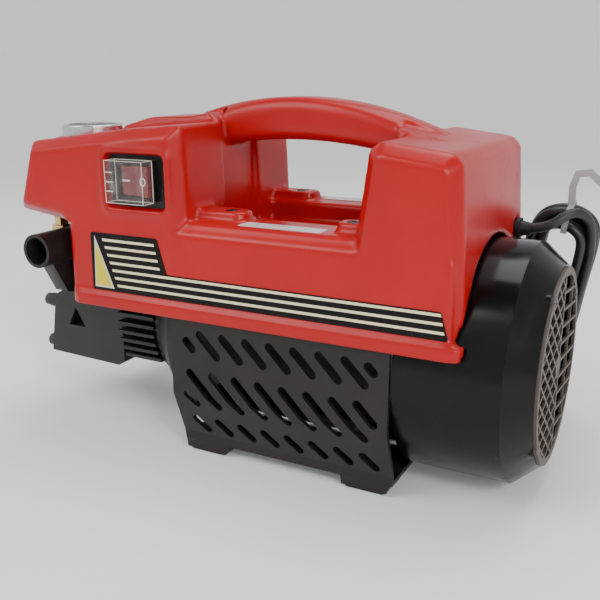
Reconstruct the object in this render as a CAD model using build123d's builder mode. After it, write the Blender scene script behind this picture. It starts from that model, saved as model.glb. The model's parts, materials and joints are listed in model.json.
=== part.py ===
"""Portable electric pressure washer: induction motor, finned axial pump, red top cover with a carry handle.

Frame: origin at the middle of the machine on the floor, +X along the motor shaft towards the fan, +Z up.
All sizes are in millimetres.
"""

import os
from math import acos, cos, pi, radians, sin, sqrt, tan

from build123d import *

os.makedirs("parts", exist_ok=True)

# Motor axis and the big round parts
AXIS_Z = 83.7
SHROUD_R = 80.0
SHROUD_X0, SHROUD_EDGE_X, NOSE_X = 116.0, 183.0, 201.0
GRILLE_R = 64.9
HOUSING_R = 62.0
HOUSING_X0, HOUSING_X1 = -48.0, 110.0
SHAFT_R = 8.0
BEARING_R = 17.5
TIE_R = 71.5
TIE_ANGLES = (50, 130, 230, 310)
TIE_ROD_R = 2.5

# Red cover
WALL = 3.0
HALF_W = 80.5
LIP_HALF_W = 85.0
LIP_Z0, LIP_Z1 = 105.0, 115.0
COVER_X0, COVER_X1 = -133.0, 160.0
SADDLE_Z = 171.0
SADDLE_X0, SADDLE_X1 = -34.0, 88.0
TROUGH_HALF_W = 38.0
RELIEF_W = 45.0
TROUGH_Z = 156.0
EDGE_BAND = 9.0
ARCH_R = 82.0
HANDLE_HALF_W = 17.0
GAUGE_XY = (-143.0, -37.0)
GAUGE_R = 22.0
GAUGE_SEAT_Z = 222.5
HOSE_X, HOSE_Y = -174.0, -45.0
BOSS_H = 7.0
SCREW_XY = [(-12.0, -52.0), (-12.0, 52.0), (80.0, -56.0), (80.0, 56.0)]
SCREW_SEAT_Z = 175.5
CAP_P0, CAP_P1, CAP_P2 = (-62.0, 239.5), (25.0, 251.0), (119.0, 229.5)
CAP_HALF_W, CAP_T = 8.0, 2.5
RECESS_X, RECESS_Z = (-96.0, -46.0), (178.0, 215.0)
RECESS_Y = -74.0
SW_BODY_W, SW_BODY_H = 30.4, 24.4

# Black cradle
CRADLE_X0, CRADLE_X1 = -46.0, 115.5
CRADLE_TOP = 104.5
FOOT_XS = ((-46.0, -12.0), (78.0, 111.0))
PAD_T = 2.5

# Pump
HEAD_X0, HEAD_X1 = -196.0, -120.0
CRANK_R = 46.0
INLET_X, INLET_Z, INLET_R, INLET_BORE = -156.0, 142.5, 12.5, 10.0
PORT_Y = 92.0

# Clearances
RUN = 0.05
GAP = 0.3

# Cord: 7 mm mains lead, from the gland to the hank and from the hank to the plug
CORD_R = 3.5
GLAND_Y, GLAND_Z = 56.0, 161.0
HANK_C = (170.0, 108.0, 89.0)
HANK_W, HANK_L, HANK_T, HANK_BUNDLE = 52.0, 178.0, 26.0, 16.0
HANK_TILT, HANK_LEAN = 14.0, 11.0
PLUG_X, PLUG_Y, PLUG_Z = 16.0, 106.5, 11.5
LEAD_ROUTE = [
    (154.0, GLAND_Y, GLAND_Z),
    (176.0, GLAND_Y, GLAND_Z),
    (191.0, 65.5, 174.5),
    (202.0, 81.0, 168.0),
    (203.0, 88.5, 147.0),
    (200.3, 91.8, 125.5),
]
TAIL_ROUTE = [
    (158.0, 118.0, 11.0),
    (138.0, 115.0, 5.5),
    (118.0, 115.5, 4.2),
    (95.0, 109.0, 5.0),
    (70.0, PLUG_Y, PLUG_Z),
    (PLUG_X + 31, PLUG_Y, PLUG_Z),
]


def ring(x0, x1, outer, inner):
    """A round tube or disc on the motor axis from x0 to x1."""
    with BuildPart() as body:
        with BuildSketch(Plane.YZ.offset(x0)):
            with Locations((0, AXIS_Z)):
                Circle(outer)
                if inner > 0:
                    Circle(inner, mode=Mode.SUBTRACT)
        extrude(amount=x1 - x0)
    return body.part


def turned(points):
    """A solid turned about the motor axis from (x, radius) points of its half section."""
    with BuildPart() as body:
        with BuildSketch(Plane.XZ):
            with BuildLine():
                Polyline([(x, AXIS_Z + r) for x, r in points], close=True)
            make_face()
        revolve(axis=Axis((0, 0, AXIS_Z), (1, 0, 0)), revolution_arc=360)
    return body.part


def cap_screw(head_r, head_h, shank_r, length):
    """A cap screw along -Z with its head's underside at the origin and a hexagon socket."""
    with BuildPart() as screw:
        with BuildSketch():
            Circle(head_r)
        extrude(amount=head_h)
        chamfer(screw.faces().sort_by(Axis.Z)[-1].edges(), length=0.12 * head_r)
        with BuildSketch(Plane.XY.offset(head_h)):
            RegularPolygon(0.5 * head_r, 6)
        extrude(amount=-0.6 * head_h, mode=Mode.SUBTRACT)
        with BuildSketch():
            Circle(shank_r)
        extrude(amount=-length)
    return screw.part


def bend_radii(route):
    """The largest even bend at each inner point of a route: nearly half of the shorter run on either side."""
    radii = []
    for before, here, after in zip(route, route[1:], route[2:]):
        arrive, leave = Vector(here) - Vector(before), Vector(after) - Vector(here)
        turn = acos(arrive.normalized().dot(leave.normalized()))
        radii.append(0.45 * min(arrive.length, leave.length) / tan(turn / 2))
    return radii


def cord_run(route):
    """A round cord along a route of points, with its bends' radii printed."""
    radii = bend_radii(route)
    print("bend radii", [round(r, 1) for r in radii])
    with BuildPart() as run:
        with BuildLine() as path:
            FilletPolyline(route, radius=radii)
        with BuildSketch(Plane(origin=path.line @ 0, z_dir=path.line % 0)):
            Circle(CORD_R)
        sweep(path=path.line)
    print("cord run", round(path.wires()[0].length, 1), "volume ratio", run.part.volume / (pi * CORD_R**2 * path.wires()[0].length))
    return run.part


def side_form(inset):
    """The cover's full-height form, inset from the outer surface: side outline with broad soft edges."""
    outline = [
        (COVER_X0, LIP_Z1 - 20),
        (COVER_X0, 152),
        (-136, 159),
        (-145, 163.5),
        (-187, 169),
        (-170, 220),
        (-86, 230.5),
        (SADDLE_X0 - 3, 234.5),
        (SADDLE_X0, SADDLE_Z),
        (SADDLE_X1, SADDLE_Z),
        (SADDLE_X1 + 7.5, 224),
        (SADDLE_X1 + 15, 229),
        (146, 223.5),
        (152, 217),
        (155.5, 165),
        (COVER_X1 - 1, LIP_Z1 - 20),
    ]
    flat = HALF_W - EDGE_BAND
    with BuildPart() as form:
        for side in (1, -1):
            with BuildSketch(Plane.XZ.offset(side * (flat - 0.4 * inset))):
                with BuildLine():
                    Polyline(outline, close=True)
                make_face()
                if inset > 0:
                    offset(amount=-inset, kind=Kind.INTERSECTION, mode=Mode.REPLACE)
            extrude(amount=side * (EDGE_BAND - 0.6 * inset), taper=40)
        with BuildSketch(Plane.XZ.offset(-(flat - 0.4 * inset))):
            with BuildLine():
                Polyline(outline, close=True)
            make_face()
            if inset > 0:
                offset(amount=-inset, kind=Kind.INTERSECTION, mode=Mode.REPLACE)
        extrude(amount=2 * (flat - 0.4 * inset))
    return form.part


def lower_form(inset):
    """The straight lower wall, from the lip's height up to the saddle's rounded shoulder."""
    half = HALF_W + 0.8 - inset
    with BuildPart() as form:
        with BuildSketch(Plane.YZ.offset(COVER_X0 + inset)):
            with BuildLine():
                Polyline(
                    [
                        (-half - 0.7, LIP_Z1 - 12),
                        (-half + 0.8, 161 - 0.5 * inset),
                        (-half + 8, SADDLE_Z - inset),
                        (half - 8, SADDLE_Z - inset),
                        (half - 0.8, 161 - 0.5 * inset),
                        (half + 0.7, LIP_Z1 - 12),
                    ],
                    close=True,
                )
            make_face()
        extrude(amount=152 - inset - COVER_X0 - inset)
    return form.part


def ridge_form(inset):
    """The middle ridges that rise from both blocks into the ends of the handle."""
    front = [(-146, 200), (-146, 223.2), (-98, 236), (-62, 237.5), (-46, 240), (-40, 236), (-40, 200)]
    rear = [(94, 200), (94, 233.5), (119, 228.5), (149, 221), (149, 200)]
    with BuildPart() as form:
        for outline in (front, rear):
            with BuildSketch(Plane.XZ.offset(-(26 - inset))):
                with BuildLine():
                    Polyline(outline, close=True)
                make_face()
                if inset > 0:
                    offset(amount=-inset, kind=Kind.INTERSECTION, mode=Mode.REPLACE)
            extrude(amount=2 * (26 - inset))
    return form.part


# ---------------------------------------------------------------- red cover
with BuildPart() as top_cover:
    add(side_form(0))
    add(lower_form(0))
    add(ridge_form(0))
    # the lip that stands proud all round the lower edge
    with BuildSketch(Plane.XY.offset(LIP_Z0)):
        with Locations(((COVER_X0 + COVER_X1) / 2, 0)):
            RectangleRounded(COVER_X1 - COVER_X0, 2 * LIP_HALF_W, 7)
    extrude(amount=LIP_Z1 - LIP_Z0)
    # everything below the lip goes
    with BuildSketch(Plane.XY.offset(LIP_Z0)):
        Rectangle(600, 300)
    extrude(amount=-60, mode=Mode.SUBTRACT)
    # the trough under the handle, between the two saddle rails
    with BuildSketch(Plane.XY.offset(TROUGH_Z)):
        with Locations(((SADDLE_X0 + SADDLE_X1) / 2, 0)):
            RectangleRounded(SADDLE_X1 - SADDLE_X0, 2 * TROUGH_HALF_W, 6)
    extrude(amount=60, mode=Mode.SUBTRACT)
    # finger relief in the front block's face
    with BuildSketch(Plane.XY.offset(TROUGH_Z)):
        with Locations((SADDLE_X0, 0)):
            Rectangle(12, RELIEF_W)
    extrude(amount=95, mode=Mode.SUBTRACT)
    # hollow inside
    add(side_form(WALL), mode=Mode.SUBTRACT)
    add(lower_form(WALL), mode=Mode.SUBTRACT)
    with BuildSketch(Plane.XY.offset(LIP_Z0)):
        with Locations(((COVER_X0 + COVER_X1) / 2, 0)):
            RectangleRounded(COVER_X1 - COVER_X0 - 2 * WALL, 2 * (LIP_HALF_W - WALL), 5)
    extrude(amount=LIP_Z1 - LIP_Z0 - WALL, mode=Mode.SUBTRACT)
    add(ridge_form(WALL), mode=Mode.SUBTRACT)
    # the trough's own floor and walls, put back inside the hollow
    with BuildSketch(Plane.XY.offset(TROUGH_Z - WALL)):
        with Locations(((SADDLE_X0 + SADDLE_X1) / 2, 0)):
            RectangleRounded(SADDLE_X1 - SADDLE_X0 + 2 * WALL, 2 * TROUGH_HALF_W + 2 * WALL, 8)
        with Locations((SADDLE_X0 - 6, 0)):
            Rectangle(6, RELIEF_W + 2 * WALL)
    extrude(amount=SADDLE_Z - TROUGH_Z + WALL)
    with BuildSketch(Plane.XY.offset(SADDLE_Z)):
        with Locations((SADDLE_X0 - 6, 0)):
            Rectangle(6, RELIEF_W + 2 * WALL)
    extrude(amount=62)
    with BuildSketch(Plane.XY.offset(TROUGH_Z)):
        with Locations(((SADDLE_X0 + SADDLE_X1) / 2, 0)):
            RectangleRounded(SADDLE_X1 - SADDLE_X0, 2 * TROUGH_HALF_W, 6)
        with Locations((SADDLE_X0, 0)):
            Rectangle(12, RELIEF_W)
    extrude(amount=95, mode=Mode.SUBTRACT)
    # screw bosses on the rails, one rounded pair at the front and one at the rear
    for side in (-1, 1):
        with BuildSketch(Plane.XY.offset(SADDLE_Z - 2)):
            with Locations((-19, side * 52)):
                RectangleRounded(42, 20, 8)
            with Locations((82, side * 56)):
                RectangleRounded(24, 18, 7)
        extrude(amount=BOSS_H + 2)
    # switch recess in the near wall
    with BuildSketch(Plane.XZ.offset(-RECESS_Y - WALL)):
        with Locations(((RECESS_X[0] + RECESS_X[1]) / 2, (RECESS_Z[0] + RECESS_Z[1]) / 2)):
            RectangleRounded(RECESS_X[1] - RECESS_X[0] + 2 * WALL, RECESS_Z[1] - RECESS_Z[0] + 2 * WALL, 5)
    extrude(amount=WALL + HALF_W + RECESS_Y + 1.6, taper=-4)
    with BuildSketch(Plane.XZ.offset(-RECESS_Y)):
        with Locations(((RECESS_X[0] + RECESS_X[1]) / 2, (RECESS_Z[0] + RECESS_Z[1]) / 2)):
            RectangleRounded(RECESS_X[1] - RECESS_X[0] - 1.2, RECESS_Z[1] - RECESS_Z[0] - 1.2, 2.5)
    extrude(amount=12, taper=-4, mode=Mode.SUBTRACT)
    with BuildSketch(Plane.XZ.offset(-RECESS_Y - 8)):
        with Locations((-70, 197.5)):
            Rectangle(SW_BODY_W + 0.6, SW_BODY_H + 0.6)
    extrude(amount=12, mode=Mode.SUBTRACT)
    # level seat and hole for the gauge in the nose's top
    with BuildSketch(Plane.XY.offset(214)):
        with Locations(GAUGE_XY):
            Circle(GAUGE_R + 2.5)
    extrude(amount=GAUGE_SEAT_Z - 214)
    with BuildSketch(Plane.XY.offset(GAUGE_SEAT_Z)):
        with Locations(GAUGE_XY):
            Circle(GAUGE_R + 0.8)
    extrude(amount=20, mode=Mode.SUBTRACT)
    with BuildSketch(Plane.XY.offset(195)):
        with Locations(GAUGE_XY):
            Circle(20.4)
    extrude(amount=60, mode=Mode.SUBTRACT)
    # hole for the gauge's hose in the nose's underside
    with BuildSketch(Plane.XY.offset(150)):
        with Locations((HOSE_X, HOSE_Y)):
            Circle(6.5)
    extrude(amount=30, mode=Mode.SUBTRACT)
    # arch around the fan shroud
    with BuildSketch(Plane.YZ.offset(130)):
        with Locations((0, AXIS_Z)):
            Circle(ARCH_R)
    extrude(amount=60, mode=Mode.SUBTRACT)
    # hole for the cord's gland
    with BuildSketch(Plane.YZ.offset(140)):
        with Locations((56, 161)):
            Circle(6.2)
    extrude(amount=30, mode=Mode.SUBTRACT)
    # counterbored screw holes in the four bosses
    for place in SCREW_XY:
        with BuildSketch(Plane.XY.offset(140)):
            with Locations(place):
                Circle(2.2)
        extrude(amount=60, mode=Mode.SUBTRACT)
        with BuildSketch(Plane.XY.offset(SCREW_SEAT_Z)):
            with Locations(place):
                Circle(4.6)
        extrude(amount=20, mode=Mode.SUBTRACT)
    # groove along the top for the handle's cap strip
    with BuildSketch(Plane.XZ.offset(-CAP_HALF_W)):
        with BuildLine():
            ThreePointArc(CAP_P0, CAP_P1, CAP_P2)
            Line(CAP_P2, (CAP_P2[0], CAP_P2[1] - CAP_T))
            ThreePointArc(*[(x, z - CAP_T) for x, z in (CAP_P2, CAP_P1, CAP_P0)])
            Line((CAP_P0[0], CAP_P0[1] - CAP_T), CAP_P0)
        make_face()
    extrude(amount=2 * CAP_HALF_W, mode=Mode.SUBTRACT)
top_cover.part.label = "top_cover"
export_step(top_cover.part, "parts/top_cover.step")

# ---------------------------------------------------------------- carry handle
with BuildPart() as carry_handle:
    with BuildSketch(Plane.XZ.offset(-HANDLE_HALF_W)):
        with BuildLine():
            ThreePointArc((SADDLE_X0 - 6, 217.5), (24, 222), (94, 213.5))
            Line((94, 213.5), (94, 236.5))
            ThreePointArc((94, 236.5), (25, 251), (SADDLE_X0 - 6, 243.6))
            Line((SADDLE_X0 - 6, 243.6), (SADDLE_X0 - 6, 217.5))
        make_face()
    extrude(amount=2 * HANDLE_HALF_W)
    long_edges = [e for e in carry_handle.edges() if abs(e.bounding_box().size.Y) < 1 and e.length > 100]
    fillet(long_edges, radius=9)
    with BuildSketch(Plane.XZ.offset(-CAP_HALF_W)):
        with BuildLine():
            ThreePointArc(*[(x, z + 6) for x, z in (CAP_P0, CAP_P1, CAP_P2)])
            Line((CAP_P2[0], CAP_P2[1] + 6), (CAP_P2[0], CAP_P2[1] - CAP_T))
            ThreePointArc(*[(x, z - CAP_T) for x, z in (CAP_P2, CAP_P1, CAP_P0)])
            Line((CAP_P0[0], CAP_P0[1] - CAP_T), (CAP_P0[0], CAP_P0[1] + 6))
        make_face()
    extrude(amount=2 * CAP_HALF_W, mode=Mode.SUBTRACT)
carry_handle.part.label = "carry_handle"
export_step(carry_handle.part, "parts/carry_handle.step")

with BuildPart() as handle_cap:
    with BuildSketch(Plane.XZ.offset(-CAP_HALF_W)):
        with BuildLine():
            ThreePointArc(CAP_P0, CAP_P1, CAP_P2)
            Line(CAP_P2, (CAP_P2[0], CAP_P2[1] - CAP_T))
            ThreePointArc(*[(x, z - CAP_T) for x, z in (CAP_P2, CAP_P1, CAP_P0)])
            Line((CAP_P0[0], CAP_P0[1] - CAP_T), CAP_P0)
        make_face()
    extrude(amount=2 * CAP_HALF_W)
handle_cap.part.label = "handle_cap"
export_step(handle_cap.part, "parts/handle_cap.step")

with BuildPart() as cover_screws:
    for place in SCREW_XY:
        add(cap_screw(4.0, 2.2, 2.0, 20).locate(Location((*place, SCREW_SEAT_Z))))
cover_screws.part.label = "cover_screws"
export_step(cover_screws.part, "parts/cover_screws.step")

# ---------------------------------------------------------------- labels on the cover
WALL_LEAN = 1.48
near_wall = Plane(
    origin=(0, -HALF_W - 1.5, LIP_Z1 - 12),
    x_dir=(1, 0, 0),
    z_dir=(0, -cos(radians(WALL_LEAN)), sin(radians(WALL_LEAN))),
)
with BuildPart() as side_decals:
    with BuildSketch(near_wall):
        with BuildLine():
            Polyline([(-113, 14), (-113, 56), (-55, 56), (-47.5, 31.6), (146, 31.6), (151.5, 14)], close=True)
        make_face()
        fillet(vertices(), radius=2)
    extrude(amount=0.4)
    mirror(about=Plane.XZ)
side_decals.part.label = "side_decals"
export_step(side_decals.part, "parts/side_decals.step")

with BuildPart() as saddle_labels:
    with BuildSketch(Plane.XY.offset(SADDLE_Z)):
        with Locations((33, -63), (33, 63)):
            RectangleRounded(60, 13, 1)
    extrude(amount=0.4)
saddle_labels.part.label = "saddle_labels"
export_step(saddle_labels.part, "parts/saddle_labels.step")

# ---------------------------------------------------------------- cradle
SLOT_W = 6.2
SLOTS = (
    [((-31.4, 86.9), 13), ((103.6, 91.8), 11), ((-31, 47), 15), ((100.5, 61.7), 22)]
    + [((-15.8 + 18.1 * k, 88.3), 25) for k in range(7)]
    + [((-20.5 + 18.2 * k, 55.5), 37) for k in range(7)]
    + [((-28 + 18.4 * k, 25.5), 17) for k in range(8)]
)
with BuildPart() as base_cradle:
    with BuildSketch(Plane.YZ.offset(CRADLE_X0)):
        with BuildLine():
            outer = [(81, CRADLE_TOP), (82.5, 50), (70.5, 16), (69.5, 9)]
            inner = [(66.6, 12), (67.6, 18), (79.4, 51), (78, CRADLE_TOP)]
            Polyline(
                [(-y, z) for y, z in outer] + outer[::-1] + inner[::-1] + [(-y, z) for y, z in inner],
                close=True,
            )
        make_face()
    extrude(amount=CRADLE_X1 - CRADLE_X0)
    # slanted rounded slots in both side walls
    for side in (-1, 1):
        with BuildSketch(Plane.XZ.offset(side * 62)):
            for place, length in SLOTS:
                with Locations(place):
                    SlotOverall(length, SLOT_W, rotation=-45)
        extrude(amount=side * 30, mode=Mode.SUBTRACT)
    # cross ribs that carry the motor housing
    for x in (-24.0, 92.0):
        with BuildSketch(Plane.YZ.offset(x)):
            with BuildLine():
                Polyline([(-79, 51), (-67.2, 18), (-66, 11.5), (66, 11.5), (67.2, 18), (79, 51)], close=True)
            make_face()
            with Locations((0, AXIS_Z)):
                Circle(HOUSING_R, mode=Mode.SUBTRACT)
            with Locations([(TIE_R * cos(radians(a)), AXIS_Z + TIE_R * sin(radians(a))) for a in (230, 310)]):
                Circle(TIE_ROD_R + 1, mode=Mode.SUBTRACT)
        extrude(amount=3)
    # four feet with sloped inner sides
    for x0, x1 in FOOT_XS:
        for side in (-1, 1):
            with BuildSketch(Plane.XZ.offset(side * 50)):
                with BuildLine():
                    Polyline([(x0 + 1, PAD_T), (x1, PAD_T), (x1 + 3, 10.5), (x0, 10.5)], close=True)
                make_face()
            extrude(amount=side * 19.3)
base_cradle.part.label = "base_cradle"
export_step(base_cradle.part, "parts/base_cradle.step")

with BuildPart() as foot_pads:
    with BuildSketch():
        for x0, x1 in FOOT_XS:
            with Locations(((x0 + x1) / 2, -60), ((x0 + x1) / 2, 60)):
                RectangleRounded(x1 - x0 - 4, 15, 3)
    extrude(amount=PAD_T)
foot_pads.part.label = "foot_pads"
export_step(foot_pads.part, "parts/foot_pads.step")

# ---------------------------------------------------------------- motor
with BuildPart() as motor_housing:
    add(ring(HOUSING_X0, HOUSING_X1, HOUSING_R, HOUSING_R - 3))
motor_housing.part.label = "motor_housing"
export_step(motor_housing.part, "parts/motor_housing.step")

tie_places = [(TIE_R * cos(radians(a)), AXIS_Z + TIE_R * sin(radians(a))) for a in TIE_ANGLES]
with BuildPart() as front_end_bell:
    add(
        turned(
            [
                (-48, 73), (-57, 73), (-62, 69), (-78, 54), (-78, 11), (-66.2, 11),
                (-66.2, BEARING_R), (-54, BEARING_R), (-54, 52), (-48, 58),
            ]
        )
    )
    with BuildSketch(Plane.YZ.offset(-58)):
        with Locations(tie_places):
            Circle(6)
    extrude(amount=10)
    with BuildSketch(Plane.YZ.offset(-58)):
        with Locations(tie_places):
            Circle(5.5)
    extrude(amount=-20, mode=Mode.SUBTRACT)
    with BuildSketch(Plane.YZ.offset(-80)):
        with Locations(tie_places):
            Circle(TIE_ROD_R + 0.1)
    extrude(amount=40, mode=Mode.SUBTRACT)
front_end_bell.part.label = "front_end_bell"
export_step(front_end_bell.part, "parts/front_end_bell.step")

with BuildPart() as rear_end_bell:
    add(
        turned(
            [
                (110, 66), (116, 66), (116, 77.1), (122, 77.1), (122, 60), (119, 50), (119, 30),
                (124, 24), (124, 11), (121, 11), (121, BEARING_R), (110, BEARING_R),
            ]
        )
    )
    with BuildSketch(Plane.YZ.offset(100)):
        with Locations(tie_places):
            Circle(TIE_ROD_R + 0.1)
    extrude(amount=40, mode=Mode.SUBTRACT)
rear_end_bell.part.label = "rear_end_bell"
export_step(rear_end_bell.part, "parts/rear_end_bell.step")

with BuildPart() as tie_rods:
    with BuildSketch(Plane.YZ.offset(-66)):
        with Locations(tie_places):
            Circle(TIE_ROD_R)
    extrude(amount=194)
    for x0, thick in ((-62, 4), (122, 4)):
        with BuildSketch(Plane.YZ.offset(x0)):
            with Locations(tie_places):
                RegularPolygon(4.4, 6)
        extrude(amount=thick)
tie_rods.part.label = "tie_rods"
export_step(tie_rods.part, "parts/tie_rods.step")

with BuildPart() as stator_core:
    add(ring(-18, 58, HOUSING_R - 3, 36))
    with BuildSketch(Plane.YZ.offset(-18)):
        with Locations((0, AXIS_Z)):
            with PolarLocations(41, 18):
                Rectangle(9, 4)
    extrude(amount=76, mode=Mode.SUBTRACT)
stator_core.part.label = "stator_core"
export_step(stator_core.part, "parts/stator_core.step")

with BuildPart() as stator_windings:
    add(turned([(-18, 40), (-18, 54), (-26, 56), (-38, 52), (-40, 44), (-30, 38.5)]))
    add(turned([(58, 40), (58, 54), (66, 56), (78, 52), (80, 44), (70, 38.5)]))
stator_windings.part.label = "stator_windings"
export_step(stator_windings.part, "parts/stator_windings.step")

with BuildPart() as rotor_core:
    add(ring(-18, 58, 35.2, SHAFT_R))
    add(ring(-24, -18, 33, 22))
    add(ring(58, 64, 33, 22))
rotor_core.part.label = "rotor_core"
export_step(rotor_core.part, "parts/rotor_core.step")

with BuildPart() as motor_shaft:
    add(turned([(-88, 0), (-88, SHAFT_R), (168, SHAFT_R), (170, SHAFT_R - 1.5), (170, 0)]))
motor_shaft.part.label = "motor_shaft"
export_step(motor_shaft.part, "parts/motor_shaft.step")

for label, x0, x1 in (("front_bearing", -66.0, -54.0), ("rear_bearing", 110.0, 121.0)):
    with BuildPart() as bearing:
        add(ring(x0, x1, BEARING_R, SHAFT_R + RUN))
        for end in (x0, x1 - 1.2):
            add(ring(end, end + 1.2, 15, 11), mode=Mode.SUBTRACT)
    bearing.part.label = label
    export_step(bearing.part, f"parts/{label}.step")

BLADES = 8
with BuildPart() as cooling_fan:
    add(ring(138, 141, 56, SHAFT_R))
    add(ring(138, 166, 15, SHAFT_R))
    with BuildSketch(Plane.YZ.offset(139)):
        with Locations((0, AXIS_Z)):
            with PolarLocations(39, BLADES):
                Rectangle(54, 2.6, rotation=9)
    extrude(amount=27)
cooling_fan.part.label = "cooling_fan"
export_step(cooling_fan.part, "parts/cooling_fan.step")

# ---------------------------------------------------------------- fan shroud and grille
with BuildPart() as fan_shroud:
    add(
        turned(
            [
                (SHROUD_X0, SHROUD_R), (SHROUD_EDGE_X, SHROUD_R), (NOSE_X - 2, GRILLE_R + 1),
                (NOSE_X - 2, GRILLE_R - 2), (SHROUD_EDGE_X - 1, SHROUD_R - 2.8), (SHROUD_X0, SHROUD_R - 2.8),
            ]
        )
    )
    # four bosses inside the mouth that the grille's screws bite into
    with BuildSketch(Plane.YZ.offset(186)):
        with Locations((0, AXIS_Z)):
            with PolarLocations(64, 4, start_angle=35):
                Circle(4.5)
    extrude(amount=13)
    with BuildSketch(Plane.YZ.offset(186)):
        with Locations((0, AXIS_Z)):
            with PolarLocations(62, 4, start_angle=35):
                Circle(1.5)
    extrude(amount=20, mode=Mode.SUBTRACT)
fan_shroud.part.label = "fan_shroud"
export_step(fan_shroud.part, "parts/fan_shroud.step")

RIB = 1.9
with BuildPart() as fan_grille:
    with BuildSketch(Plane.YZ.offset(NOSE_X - 2)) as lattice:
        for k in range(-9, 10):
            with Locations((-35, AXIS_Z + 11.5 * k)):
                Rectangle(190, RIB, rotation=-38)
                Rectangle(190, RIB, rotation=12)
        with Locations((-61, AXIS_Z)):
            Rectangle(128, 140, mode=Mode.INTERSECT)
        for k in range(-6, 7):
            with Locations((38, AXIS_Z - 2 + 11.5 * k)):
                Rectangle(74, RIB, rotation=-7)
        with Locations((3, AXIS_Z)):
            Rectangle(3, 126)
        with Locations((33, AXIS_Z)):
            Rectangle(RIB, 126)
        with Locations((0, AXIS_Z)):
            Circle(62, mode=Mode.INTERSECT)
            Circle(8)
    extrude(amount=1.8)
    add(ring(NOSE_X - 2, NOSE_X, GRILLE_R, 60))
    with BuildSketch(Plane.YZ.offset(NOSE_X - 2)):
        with Locations((0, AXIS_Z)):
            with PolarLocations(62, 4, start_angle=35):
                Circle(4.2)
    extrude(amount=2)
    for x0, radius in ((NOSE_X - 3, 1.6), (NOSE_X - 0.9, 3.2)):
        with BuildSketch(Plane.YZ.offset(x0)):
            with Locations((0, AXIS_Z)):
                with PolarLocations(62, 4, start_angle=35):
                    Circle(radius)
        extrude(amount=4, mode=Mode.SUBTRACT)
fan_grille.part.label = "fan_grille"
export_step(fan_grille.part, "parts/fan_grille.step")

with BuildPart() as grille_screws:
    for x0, length, radius in ((NOSE_X - 0.9, 0.9, 2.9), (NOSE_X - 12, 11.1, 1.45)):
        with BuildSketch(Plane.YZ.offset(x0)):
            with Locations((0, AXIS_Z)):
                with PolarLocations(62, 4, start_angle=35):
                    Circle(radius)
        extrude(amount=length)
    with BuildSketch(Plane.YZ.offset(NOSE_X)):
        with Locations((0, AXIS_Z)):
            with PolarLocations(62, 4, start_angle=35):
                Rectangle(3.4, 0.8)
                Rectangle(0.8, 3.4)
    extrude(amount=-0.6, mode=Mode.SUBTRACT)
grille_screws.part.label = "grille_screws"
export_step(grille_screws.part, "parts/grille_screws.step")

# ---------------------------------------------------------------- pump
PLUNGER_RING = 15.0
PLUNGER_ANGLES = (30, 150, 270)
plunger_places = [
    (PLUNGER_RING * cos(radians(a)), AXIS_Z + PLUNGER_RING * sin(radians(a))) for a in PLUNGER_ANGLES
]
FINS = 9
FIN_PITCH = 7.0
with BuildPart() as crankcase:
    add(ring(-120, -78, CRANK_R, 37))
    with BuildSketch(Plane.YZ.offset(-116)):
        for k in range(FINS):
            rise = (k - (FINS - 1) / 2) * FIN_PITCH
            with Locations((0, AXIS_Z + rise)):
                Rectangle(2 * sqrt(56**2 - rise**2), 2.6)
        with Locations((0, AXIS_Z)):
            Circle(40, mode=Mode.SUBTRACT)
    extrude(amount=34)
    add(ring(-82, -78, 53, 37))
    with BuildSketch(Plane.XY.offset(AXIS_Z + 30)):
        with Locations((-99, 0)):
            Circle(5)
    extrude(amount=40, mode=Mode.SUBTRACT)
crankcase.part.label = "crankcase"
export_step(crankcase.part, "parts/crankcase.step")

with BuildPart() as swash_plate:
    add(ring(-98, -84, 30, 0))
    tilted = Plane(origin=(-94, 0, AXIS_Z), z_dir=(-1, 0, 0.13))
    split(bisect_by=tilted, keep=Keep.BOTTOM)
    add(ring(-88, -80, SHAFT_R, 0), mode=Mode.SUBTRACT)
swash_plate.part.label = "swash_plate"
export_step(swash_plate.part, "parts/swash_plate.step")

with BuildPart() as thrust_bearing:
    add(ring(-83.6, -78, 27, 12))
    add(ring(-81.4, -80.2, 28, 23), mode=Mode.SUBTRACT)
thrust_bearing.part.label = "thrust_bearing"
export_step(thrust_bearing.part, "parts/thrust_bearing.step")

COLLAR_X = -98.8
with BuildPart() as plungers:
    with BuildSketch(Plane.YZ.offset(-150)):
        with Locations(plunger_places):
            Circle(6)
    extrude(amount=COLLAR_X + 150)
    with BuildSketch(Plane.YZ.offset(COLLAR_X - 3)):
        with Locations(plunger_places):
            Circle(9.5)
    extrude(amount=3)
plungers.part.label = "plungers"
export_step(plungers.part, "parts/plungers.step")

with BuildPart() as plunger_seals:
    with BuildSketch(Plane.YZ.offset(-126)):
        with Locations(plunger_places):
            Circle(9.4)
            Circle(6, mode=Mode.SUBTRACT)
    extrude(amount=6)
plunger_seals.part.label = "plunger_seals"
export_step(plunger_seals.part, "parts/plunger_seals.step")

WIRE_R = 0.8
with BuildPart() as plunger_springs:
    for y, z in plunger_places:
        with BuildLine() as coil:
            Helix(pitch=3.6, height=16, radius=8.1, center=(-119, y, z), direction=(1, 0, 0))
        with BuildSketch(Plane(origin=coil.line @ 0, z_dir=coil.line % 0)):
            Circle(WIRE_R)
        sweep(path=coil.line, is_frenet=True)
plunger_springs.part.label = "plunger_springs"
export_step(plunger_springs.part, "parts/plunger_springs.step")

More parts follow.
